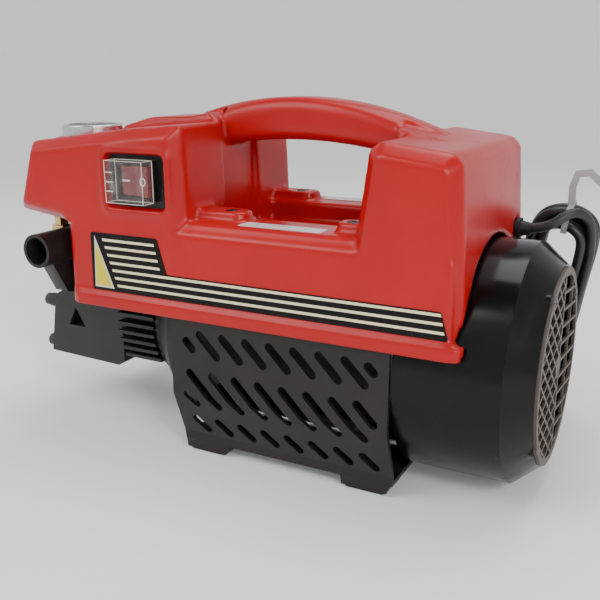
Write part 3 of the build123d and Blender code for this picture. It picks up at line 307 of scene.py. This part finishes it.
class Finishes:
    """Every finish of the machine, made once and looked up by the record's slot name."""

    SPECS = {
        "red_plastic": Moulded(
            "red_shell", (0.45, 0.003, 0.004), (0.36, 0.002, 0.003),
            rough=0.34, grain=2300.0, grain_depth=0.000016, coat=0.08, dust=0.03,
        ),
        "black_plastic": Moulded(
            "black_moulding", (0.0120, 0.0108, 0.0100), (0.020, 0.017, 0.015),
            rough=0.40, grain=1800.0, grain_depth=0.00003,
        ),
        "gloss_black": Moulded(
            "gloss_shroud", (0.0022, 0.0022, 0.0024), (0.004, 0.004, 0.004),
            rough=0.18, grain=900.0, grain_depth=0.000004, coat=0.0, dust=0.02, shine=0.22,
        ),
        "grille_plastic": Moulded(
            "grille_moulding", (0.060, 0.047, 0.038), (0.090, 0.072, 0.060), rough=0.5
        ),
        "decal_film": Moulded(
            "stripe_ground", (0.0045, 0.0034, 0.0030), (0.007, 0.005, 0.0045),
            rough=0.30, grain=1200.0, grain_depth=0.000006, shine=0.15,
        ),
        "label_film": Moulded(
            "rail_label", (0.62, 0.62, 0.58), (0.54, 0.55, 0.52),
            rough=0.34, grain=1200.0, grain_depth=0.00001,
        ),
        "foot_rubber": Moulded(
            "foot_rubber", (0.018, 0.018, 0.018), (0.03, 0.03, 0.03),
            rough=0.72, grain=900.0, grain_depth=0.00006,
        ),
        "dark_aluminium": Metal(
            "dark_casting", (0.016, 0.0148, 0.0142), (0.030, 0.027, 0.025),
            rough=0.40, metallic=0.3, brush=(1, 1, 1), cast=0.00008,
        ),
        "plain_aluminium": Metal(
            "plain_casting", (0.50, 0.50, 0.51), (0.38, 0.38, 0.39),
            rough=0.4, metallic=0.9, brush=(1, 1, 1), cast=0.00008,
        ),
        "steel": Metal(
            "turned_steel", (0.50, 0.50, 0.51), (0.36, 0.36, 0.37),
            rough=0.24, metallic=1.0, brush=(1, 0.05, 0.05),
        ),
        "black_screws": Metal(
            "blackened_screw", (0.045, 0.044, 0.044), (0.08, 0.078, 0.075), rough=0.32, metallic=0.8
        ),
        "zinc_screws": Metal(
            "zinc_plate", (0.62, 0.60, 0.54), (0.50, 0.50, 0.48), rough=0.26, metallic=1.0
        ),
        "laminations": Metal(
            "laminations", (0.26, 0.26, 0.27), (0.16, 0.15, 0.15),
            rough=0.42, metallic=0.9, brush=(4, 0.1, 0.1), cast=0.00006,
        ),
        "copper_wire": Metal(
            "copper_wire", (0.60, 0.24, 0.11), (0.42, 0.15, 0.07),
            rough=0.3, metallic=0.9, brush=(1, 6, 6), cast=0.0001,
        ),
        "brass_fittings": Metal(
            "turned_brass", (0.68, 0.50, 0.22), (0.52, 0.36, 0.15),
            rough=0.26, metallic=1.0, brush=(0.1, 1, 1),
        ),
        "fan_plastic": Moulded("fan_moulding", (0.035, 0.035, 0.036), (0.05, 0.05, 0.05), rough=0.46),
        "seal_rubber": Moulded("seal_rubber", (0.02, 0.02, 0.02), (0.03, 0.03, 0.03), rough=0.6),
        "hose_rubber": Jacket("gauge_hose_jacket", (0.014, 0.014, 0.014)),
        "gauge_steel": Metal("gauge_case", (0.66, 0.66, 0.67), (0.54, 0.54, 0.55), rough=0.2, metallic=1.0),
        "dial_white": Moulded(
            "dial_face", (0.82, 0.82, 0.79), (0.78, 0.78, 0.74),
            rough=0.4, grain=900.0, grain_depth=0.000008,
        ),
        "needle_black": Moulded("needle_paint", (0.015, 0.015, 0.015), (0.03, 0.03, 0.03), rough=0.35),
        "clear_lens": Clear("gauge_lens", (0.85, 0.88, 0.90), alpha=0.16),
        "clear_guard": Clear("clear_guard", (0.55, 0.50, 0.49), alpha=0.05, rough=0.05),
        "rocker_red": Moulded(
            "rocker_red", (0.20, 0.006, 0.010), (0.14, 0.005, 0.008),
            rough=0.22, grain=1500.0, grain_depth=0.00001, coat=0.5,
        ),
        "switch_black": Moulded(
            "switch_black", (0.0060, 0.0058, 0.0058), (0.010, 0.009, 0.009), rough=0.36
        ),
        "capacitor_case": Moulded("capacitor_case", (0.52, 0.52, 0.50), (0.45, 0.45, 0.43), rough=0.4),
        "wire_sleeve": Jacket("wire_sleeve", (0.02, 0.02, 0.02)),
        "cord_jacket": Jacket("cord_jacket"),
        "tie_grey": Moulded("tie_grey", (0.38, 0.38, 0.39), (0.30, 0.30, 0.31), rough=0.42),
        "plug_plastic": Moulded(
            "plug_rubber", (0.016, 0.016, 0.016), (0.026, 0.026, 0.026),
            rough=0.5, grain=1500.0, grain_depth=0.00004,
        ),
        "pin_brass": Metal("pin_brass", (0.74, 0.60, 0.32), (0.62, 0.48, 0.25), rough=0.2, metallic=1.0),
        "print_cream": Moulded(
            "print_cream", (0.86, 0.76, 0.46), (0.80, 0.70, 0.42),
            rough=0.34, grain=1200.0, grain_depth=0.000006,
        ),
        "print_yellow": Moulded(
            "print_yellow", (0.70, 0.58, 0.025), (0.64, 0.52, 0.02),
            rough=0.34, grain=1200.0, grain_depth=0.000006,
        ),
        # Pale ink of the triangle's edge, also used for the painted highlight strips on the clear guard's
        # edges.
        "pale_print_and_highlight": Moulded(
            "pale_print_and_highlight", (0.66, 0.61, 0.52), (0.60, 0.56, 0.47),
            rough=0.34, grain=1200.0, grain_depth=0.000006,
        ),
        "print_white": Moulded(
            "print_white", (0.80, 0.80, 0.80), (0.74, 0.74, 0.74),
            rough=0.4, grain=1200.0, grain_depth=0.000006,
        ),
        "print_black": Moulded(
            "print_black", (0.02, 0.02, 0.02), (0.03, 0.03, 0.03),
            rough=0.4, grain=1200.0, grain_depth=0.000006,
        ),
    }

    def __init__(self) -> None:
        """Starts with nothing made."""
        self.made: dict[str, bpy.types.Material] = {}

    def __getitem__(self, slot: str) -> bpy.types.Material:
        """The material of a slot, made on first use."""
        if slot not in self.made:
            self.made[slot] = self.SPECS[slot].make()
        return self.made[slot]


# ------------------------------------------------------------------ mesh helpers
class Workshop:
    """Makes meshes into pieces that ride on a body, and softens copies of frame nodes."""

    def __init__(self, finishes: Finishes) -> None:
        """Keeps the finishes."""
        self.finishes = finishes
        self.slot_of = {s["node"]: s["material_slot"] for s in frame["record"]["subparts"]}

    def piece(
        self,
        name: str,
        work: bmesh.types.BMesh,
        slot: str,
        body: Body = Body.MACHINE,
        smooth: float | None = 35.0,
    ) -> bpy.types.Object:
        """Turns a bmesh into a finished piece.

        Args:
            name: The piece's name.
            work: Its bmesh, which is freed.
            slot: The record slot or print colour for its finish.
            body: The body that it rides on.
            smooth: Sharp-edge angle in degrees, or None for flat faces.

        Returns:
            The new object.
        """
        mesh = bpy.data.meshes.new(name)
        work.to_mesh(mesh)
        work.free()
        made = bpy.data.objects.new(name, mesh)
        bpy.context.scene.collection.objects.link(made)
        mesh.materials.append(self.finishes[slot])
        if smooth is not None:
            mesh.shade_smooth()
            mesh.set_sharp_from_angle(angle=math.radians(smooth))
        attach(made, body.value)
        LOG.info("piece %s", name)
        return made

    def merged(self, *nodes: str) -> bmesh.types.BMesh:
        """A welded copy of one or more frame nodes, with flat areas joined into single faces."""
        work = bmesh.new()
        for node in nodes:
            work.from_mesh(frame["nodes"][node].data)
        bmesh.ops.remove_doubles(work, verts=work.verts, dist=0.00001)
        bmesh.ops.dissolve_limit(work, angle_limit=math.radians(0.4), verts=work.verts, edges=work.edges)
        return work

    def soften(
        self, node: str, width: float, body: Body = Body.MACHINE, angle: float = 32.0, rounds: int = 2
    ) -> None:
        """Replaces a frame node by a copy whose edges carry a small round.

        Args:
            node: The frame node.
            width: The round's width in metres.
            body: The body that it rides on.
            angle: Edges sharper than this, in degrees, are rounded.
            rounds: Segments of the round.
        """
        made = self.piece(f"{node}_soft", self.merged(node), self.slot_of[node], body, None)
        edge = made.modifiers.new("round", "BEVEL")
        edge.width, edge.segments, edge.limit_method = width, rounds, "ANGLE"
        edge.angle_limit = math.radians(angle)
        edge.use_clamp_overlap = True
        edge.harden_normals = False
        made.data.shade_smooth()
        made.data.set_sharp_from_angle(angle=math.radians(angle))
        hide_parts(node)

    def dress(self, node: str) -> None:
        """Gives a frame node its finish without touching its mesh."""
        data = frame["nodes"][node].data
        data.materials.clear()
        data.materials.append(self.finishes[self.slot_of[node]])


# ------------------------------------------------------------------ camera, light and floor
@dataclass
class Studio:
    """The camera, the soft lights and the pale floor."""

    camera_at: Point = (0.27476, -0.5017, 0.2670)
    yaw: float = 27.6
    pitch: float = 16.08
    roll: float = 0.27
    lens: float = 47.38

    def camera(self) -> None:
        """Places the camera."""
        data = bpy.data.cameras.new("camera")
        data.lens, data.sensor_width = self.lens, 36.0
        data.clip_start, data.clip_end = 0.01, 20.0
        made = bpy.data.objects.new("camera", data)
        bpy.context.scene.collection.objects.link(made)
        turn = (
            Matrix.Rotation(math.radians(self.yaw), 4, "Z")
            @ Matrix.Rotation(math.radians(90 - self.pitch), 4, "X")
            @ Matrix.Rotation(math.radians(-self.roll), 4, "Z")
        )
        made.matrix_world = Matrix.Translation(self.camera_at) @ turn
        bpy.context.scene.camera = made

    def lights(self) -> None:
        """Hangs four soft panels and sets a pale surround."""
        for name, at, aim, size, power in (
            ("key", (-0.9, -1.1, 1.5), (0.0, 0.0, 0.1), 1.1, 19.0),
            ("side", (1.35, -0.75, 0.75), (0.12, -0.05, 0.1), 0.5, 6.0),
            ("end", (0.95, -0.95, 0.95), (0.17, -0.03, 0.13), 0.16, 5.0),
            ("top", (0.2, 0.5, 1.9), (0.0, 0.0, 0.1), 1.2, 20.0),
        ):
            data = bpy.data.lights.new(name, "AREA")
            data.energy, data.size = power, size
            made = bpy.data.objects.new(name, data)
            bpy.context.scene.collection.objects.link(made)
            aimed = (Vector(aim) - Vector(at)).to_track_quat("-Z", "Y").to_matrix().to_4x4()
            made.matrix_world = Matrix.Translation(at) @ aimed
        world = bpy.data.worlds.new("surround")
        bpy.context.scene.world = world
        world.use_nodes = True
        ground = world.node_tree.nodes["Background"]
        ground.inputs["Color"].default_value = (0.93, 0.95, 1.0, 1.0)
        ground.inputs["Strength"].default_value = 0.30

    def floor(self) -> None:
        """Lays a wide pale floor that sweeps up into a wall all round."""
        reach, radius, height = 2.0, 0.9, 3.0
        sweep = [math.radians(7.5 * k) for k in range(13)]
        profile = [(0.0, 0.0)]
        profile += [(reach + radius * math.sin(a), radius * (1 - math.cos(a))) for a in sweep]
        profile.append((reach + radius, height))
        work = bmesh.new()
        spots = [work.verts.new((out, 0.0, up)) for out, up in profile]
        line = [work.edges.new(pair) for pair in zip(spots, spots[1:])]
        bmesh.ops.spin(work, geom=spots + line, axis=(0, 0, 1), angle=math.tau, steps=72, use_merge=True)
        bmesh.ops.remove_doubles(work, verts=work.verts, dist=0.0001)
        bmesh.ops.recalc_face_normals(work, faces=work.faces)
        mesh = bpy.data.meshes.new("floor")
        work.to_mesh(mesh)
        work.free()
        mesh.shade_smooth()
        made = bpy.data.objects.new("floor", mesh)
        bpy.context.scene.collection.objects.link(made)
        white, off_white = (0.92, 0.92, 0.92), (0.90, 0.90, 0.90)
        paper = Moulded("floor_paper", white, off_white, rough=0.85, grain=300.0, glow=0.10)
        made.data.materials.append(paper.make())


# ------------------------------------------------------------------ mains cord
@dataclass
class MainsCord:
    """The mains lead: out of the gland, round a hank of turns and along the floor to the plug."""

    shop: Workshop
    diameter: float = 0.007
    length: float = 2.5
    centre: Point = (0.170, 0.108, 0.089)
    tilt: float = 14.0
    lean: float = 11.0
    outer: float = 0.0222
    half: float = 0.0845
    lead: list[Point] = field(
        default_factory=lambda: [
            (0.158, 0.056, 0.161),
            (0.176, 0.056, 0.161),
            (0.191, 0.0655, 0.1745),
            (0.202, 0.0785, 0.168),
            (0.203, 0.0875, 0.147),
            (0.2003, 0.0912, 0.1255),
        ]
    )
    tail: list[Point] = field(
        default_factory=lambda: [
            (0.118, 0.1105, 0.0065),
            (0.096, 0.1085, 0.0045),
            (0.080, 0.1067, 0.0072),
            (0.068, 0.1065, 0.0115),
            (0.047, 0.1065, 0.0115),
        ]
    )

    def laid(self, u: float, v: float, w: float) -> Point:
        """A point of the leaning hank: u across, v along its length, w towards the machine."""
        s, c = math.sin(math.radians(self.tilt)), math.cos(math.radians(self.tilt))
        p, q = math.sin(math.radians(self.lean)), math.cos(math.radians(self.lean))
        x, y, z = self.centre
        up = v * q - u * p
        return (x + u * q + v * p, y - s * up - c * w, z + c * up - s * w)

    def over_the_top(self, here: tuple[float, float], after: tuple[float, float]) -> list[Point]:
        """Control points over the hank's top, from one turn to the next.

        Args:
            here: The turn's half width and place through the hank.
            after: The same of the next turn.

        Returns:
            Six points from the left leg to the right leg.
        """
        arc = ((-1, 0.10), (-0.82, 0.72), (-0.30, 1.03), (0.30, 1.03), (0.82, 0.72), (1, 0.10))
        points = []
        for t, (cu, cv) in enumerate(arc):
            share = min(1.0, (t + 0.5) / 4)
            a = here[0] + (after[0] - here[0]) * share
            w = here[1] + (after[1] - here[1]) * share
            points.append(self.laid(cu * a, self.half - self.outer + cv * a, w))
        return points

    def turns(self) -> list[Point]:
        """The hank's turns, outer layer first, as control points of the same line."""
        step = self.diameter + 0.0003
        places = [(self.outer, w) for w in (0.0074, 0.0, -0.0074)]
        places += [(self.outer - step, w) for w in (-0.0110, -0.0037, 0.0036, 0.0109)]
        points: list[Point] = []
        for k, (wide, w) in enumerate(places):
            far = self.half - (self.outer - wide)
            wobble = 0.0012 * math.sin(2.4 * k)
            bend = far - wide
            right = [(wide, 0.55 * bend), (wide + wobble, 0.0), (wide, -0.55 * bend)]
            bottom = [
                (wide, -bend - 0.10 * wide),
                (0.82 * wide, -bend - 0.72 * wide),
                (0.30 * wide, -far - 0.03 * wide),
                (-0.30 * wide, -far - 0.03 * wide),
                (-0.82 * wide, -bend - 0.72 * wide),
                (-wide, -bend - 0.10 * wide),
            ]
            left = [(-wide, -0.55 * bend), (-wide - wobble, 0.0), (-wide, 0.55 * bend)]
            if k == 0:
                right = right[1:]
            if k == len(places) - 1:
                points += [self.laid(u, v, w) for u, v in right]
                rise = (0.0008, 0.0018, 0.0030)
                points += [self.laid(u, v, w + more) for (u, v), more in zip(bottom, rise)]
                points += [self.laid(-0.006, -far, w + 0.0046), self.laid(-0.0175, -far - 0.0005, w + 0.0058)]
                break
            points += [self.laid(u, v, w) for u, v in right + bottom + left]
            points += self.over_the_top(places[k], places[k + 1])
        return points

    def build(self) -> None:
        route = self.lead + self.turns() + self.tail
        data = bpy.data.curves.new("mains_cord", "CURVE")
        data.dimensions = "3D"
        line = data.splines.new("NURBS")
        line.points.add(len(route) - 1)
        for spot, where in zip(line.points, route):
            spot.co = (*where, 1.0)
        line.order_u = 3
        line.use_endpoint_u = True
        line.resolution_u = 6
        data.bevel_depth = self.diameter / 2
        data.bevel_resolution = 4
        data.use_fill_caps = True
        made = bpy.data.objects.new("mains_cord", data)
        bpy.context.scene.collection.objects.link(made)
        data.materials.append(self.shop.finishes["cord_jacket"])
        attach(made, "machine")
        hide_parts("cord_lead", "cord_hank", "cord_tail")
        for node in ("plug_body", "plug_pins", "strain_relief", "cord_tie"):
            self.shop.dress(node)
        [frame["nodes"][n] for n in ("plug_body", "plug_pins", "strain_relief", "cord_tie")]
        LOG.info("mains cord laid")


# ------------------------------------------------------------------ red cover
@dataclass
class Cover:
    """The red top cover with its handle, printed stripes, rail labels and screws."""

    shop: Workshop
    voxel: float = 0.0017
    wall_y: float = -0.0820
    wall_z: float = 0.103
    lean: float = 1.48
    film: float = 0.0004

    def shell(self) -> None:
        """The cover and handle grown together, with the soft edges of a moulding."""
        work = bmesh.new()
        for node in ("top_cover", "carry_handle", "handle_cap"):
            work.from_mesh(frame["nodes"][node].data)
        bmesh.ops.remove_doubles(work, verts=work.verts, dist=0.00001)
        made = self.shop.piece("red_shell", work, "red_plastic", Body.MACHINE, None)
        bpy.context.view_layer.objects.active = made
        for kind, settings in (
            ("REMESH", {"mode": "VOXEL", "voxel_size": self.voxel, "use_smooth_shade": True}),
            ("SMOOTH", {"factor": 0.5, "iterations": 9}),
            ("DECIMATE", {"ratio": 0.22}),
        ):
            step = made.modifiers.new(kind.lower(), kind)
            for key, value in settings.items():
                setattr(step, key, value)
        depsgraph = bpy.context.evaluated_depsgraph_get()
        done = bpy.data.meshes.new_from_object(made.evaluated_get(depsgraph))
        made.modifiers.clear()
        made.data = done
        done.shade_smooth()
        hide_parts("top_cover", "carry_handle", "handle_cap")

    def on_wall(self, side: int, proud: float) -> Callable[[float, float], Vector]:
        """How a flat (x, up the wall) drawing lands on the near (-1) or far (+1) wall."""
        s, c = math.sin(math.radians(self.lean)), math.cos(math.radians(self.lean))

        def land(x: float, up: float) -> Vector:
            """The wall point of a drawing point."""
            y = self.wall_y + up * s - proud * c
            return Vector((x, -side * y, self.wall_z + up * c + proud * s))

        return land

    def print_shape(self, name: str, shapes: list[Outline], slot: str, proud: float) -> None:
        """Prints flat shapes on both walls as thin raised ink.

        Args:
            name: The piece's name.
            shapes: Outlines in millimetres, as (x, up the wall).
            slot: The print colour.
            proud: How far the ink's face stands off the wall, in metres.
        """
        work = bmesh.new()
        for side in (-1, 1):
            land = self.on_wall(side, proud)
            for outline in shapes:
                corners = [work.verts.new(land(x / 1000, up / 1000)) for x, up in outline]
                work.faces.new(corners)
        sheet = bmesh.ops.extrude_face_region(work, geom=list(work.faces))
        moved = [v for v in sheet["geom"] if isinstance(v, bmesh.types.BMVert)]
        for v in moved:
            v.co.y += 0.0003 if v.co.y < 0 else -0.0003
        bmesh.ops.recalc_face_normals(work, faces=work.faces)
        self.shop.piece(name, work, slot, Body.MACHINE, None)

    def stripes(self) -> None:
        """Seven cream stripes and a pale-edged yellow triangle."""
        bars = []
        thick = 0.88
        lean = (-109.8 - -93.0) / 42.0
        for k in range(7):
            up = 51.2 - 5.35 * k
            start = -102.0 + (up - 51.2) * lean * 0.92
            end = (-57.5 + 0.26 * (51.2 - up)) if k < 4 else (146.0 + 1.2 * (k - 4))
            low, high = up - thick, up + thick
            bars.append([(start, low), (end + 0.4, low), (end, high), (start - 0.7, high)])
        edge = [(-110.8, 16.6), (-93.6, 16.6), (-109.6, 54.0)]
        inside = [(-109.8, 18.0), (-95.8, 18.0), (-109.0, 49.0)]
        self.print_shape("stripes", bars, "print_cream", self.film + 0.00012)
        self.print_shape("triangle_edge", [edge], "pale_print_and_highlight", self.film + 0.00010)
        self.print_shape("triangle", [inside], "print_yellow", self.film + 0.00018)

    def build(self) -> None:
        """Makes the shell, its prints and the small parts on it."""
        self.shell()
        self.stripes()
        for node in ("side_decals", "saddle_labels", "cover_screws"):
            self.shop.dress(node)


# ------------------------------------------------------------------ cradle, motor and fan end
@dataclass
class Chassis:
    """The black cradle, its feet, the motor and the fan end."""

    shop: Workshop

    def build(self) -> None:
        """Softens the mouldings and dresses the rest."""
        self.shop.soften("base_cradle", 0.0008)
        self.shop.soften("foot_pads", 0.0008)
        self.shop.soften("fan_shroud", 0.0012)
        self.shop.soften("fan_grille", 0.0004)
        self.shop.soften("front_end_bell", 0.0010)
        self.shop.soften("motor_housing", 0.0008)
        for node in (
            "rear_end_bell", "tie_rods", "stator_core", "stator_windings", "rotor_core", "motor_shaft",
            "front_bearing", "rear_bearing", "cooling_fan", "grille_screws",
        ):
            self.shop.dress(node)


# ------------------------------------------------------------------ pump
@dataclass
class Pump:
    """The finned pump with its ports, regulator and gauge."""

    shop: Workshop
    gauge_at: tuple[float, float] = (-0.143, -0.037)

    def dial_marks(self) -> None:
        """Scale marks round the gauge's dial."""
        work = bmesh.new()
        for k in range(31):
            turn = math.radians(-135 + 9 * k)
            long = k % 5 == 0
            size = (0.0028 if long else 0.0016, 0.0005 if long else 0.0003, 0.0001)
            at = Matrix.Translation((*self.gauge_at, 0.21965)) @ Matrix.Rotation(turn, 4, "Z")
            bmesh.ops.create_cube(
                work, size=1.0, matrix=at @ Matrix.Translation((-0.0150, 0, 0)) @ Matrix.Diagonal((*size, 1))
            )
        self.shop.piece("dial_marks", work, "print_black", Body.MACHINE, None)

    def build(self) -> None:
        """Softens the castings and dresses the rest."""
        rounds = {
            "crankcase": 0.0007,
            "pump_head": 0.0014,
            "inlet_elbow": 0.0008,
            "head_bolts": 0.0005,
            "valve_caps": 0.0005,
            "outlet_fitting": 0.0004,
            "regulator_body": 0.0005,
            "oil_plug": 0.0006,
            "gauge_fitting": 0.0005,
        }
        for node, width in rounds.items():
            self.shop.soften(node, width)
        self.shop.soften("regulator_knob", 0.0005, Body.KNOB)
        for node in (
            "swash_plate", "thrust_bearing", "plungers", "plunger_seals", "plunger_springs", "inlet_filter",
            "gauge_case", "gauge_bezel", "gauge_dial", "gauge_needle", "gauge_lens", "gauge_hose",
        ):
            self.shop.dress(node)
        self.dial_marks()


# ------------------------------------------------------------------ switch and electrics
@dataclass
class Electrics:
    """The guarded rocker switch, the capacitor and the loom."""

    shop: Workshop

    def marks(self) -> None:
        """A bar and a ring on the rocker's face."""
        bar = bmesh.new()
        slant = Matrix.Rotation(math.radians(-4), 4, "Z")
        at = Matrix.Translation((-0.0785, -0.07975, 0.197)) @ slant
        bmesh.ops.create_cube(bar, size=1.0, matrix=at @ Matrix.Diagonal((0.0068, 0.0002, 0.0011, 1)))
        self.shop.piece("rocker_bar", bar, "print_white", Body.ROCKER, None)
        ring = bmesh.new()
        at = Matrix.Translation((-0.0630, -0.08195, 0.197)) @ Matrix.Rotation(math.radians(-15), 4, "Z")
        at = at @ Matrix.Rotation(math.radians(90), 4, "X")
        rim = bmesh.ops.create_circle(ring, segments=36, radius=0.0030, matrix=at)["verts"]
        inner = bmesh.ops.create_circle(ring, segments=36, radius=0.0022, matrix=at)["verts"]
        edges = [e for e in ring.edges if e.verts[0] in rim or e.verts[0] in inner]
        bmesh.ops.bridge_loops(ring, edges=edges)
        bmesh.ops.solidify(ring, geom=list(ring.faces), thickness=0.0002)
        bmesh.ops.recalc_face_normals(ring, faces=ring.faces)
        self.shop.piece("rocker_ring", ring, "print_white", Body.ROCKER, None)

    def guard_highlights_and_ribs(self) -> None:
        """Painted highlights: pale strips along the clear guard's edges stand in for light catching them,
        with three pale grip ribs beside its hinge.
        """
        left, right, low, high, back, front = -0.0855, -0.0545, 0.1835, 0.2115, -0.0820, -0.0930
        thick = 0.0004
        sides, levels, depths = (left, right), (low, high), (front, back)
        mid_x, mid_y, mid_z = (left + right) / 2, (front + back) / 2, (low + high) / 2
        # Pale strips along every edge of the guard box: painted highlight where light catches the clear
        # edges.
        bars = [((x, y, mid_z), (thick, thick, high - low)) for x in sides for y in depths]
        bars += [((mid_x, y, z), (right - left, thick, thick)) for z in levels for y in depths]
        bars += [((x, mid_y, z), (thick, back - front, thick)) for x in sides for z in levels]
        bars += [((left + 0.0036, front, z), (0.0052, 0.0005, 0.0008)) for z in (0.1912, 0.1975, 0.2038)]
        work = bmesh.new()
        for at, size in bars:
            bmesh.ops.create_cube(work, size=1.0, matrix=Matrix.Translation(at) @ Matrix.Diagonal((*size, 1)))
        self.shop.piece("guard_highlights_and_ribs", work, "pale_print_and_highlight", Body.SWITCH_GUARD, None)

    def build(self) -> None:
        """Softens the switch and dresses the rest."""
        self.shop.soften("switch_housing", 0.0005)
        self.shop.soften("switch_rocker", 0.0006, Body.ROCKER)
        self.shop.soften("switch_cover", 0.0003, Body.SWITCH_GUARD)
        for node in ("capacitor", "capacitor_clip", "wiring_loom"):
            self.shop.dress(node)
        self.marks()
        self.guard_highlights_and_ribs()


def main() -> None:
    """Builds the camera and cord, then every sub-assembly."""
    studio = Studio()
    studio.camera()
    shop = Workshop(Finishes())
    MainsCord(shop).build()
    studio.lights()
    studio.floor()
    Cover(shop).build()
    Chassis(shop).build()
    Pump(shop).build()
    Electrics(shop).build()
    LOG.info("all pieces built")


if __name__ == "__main__":
    main()
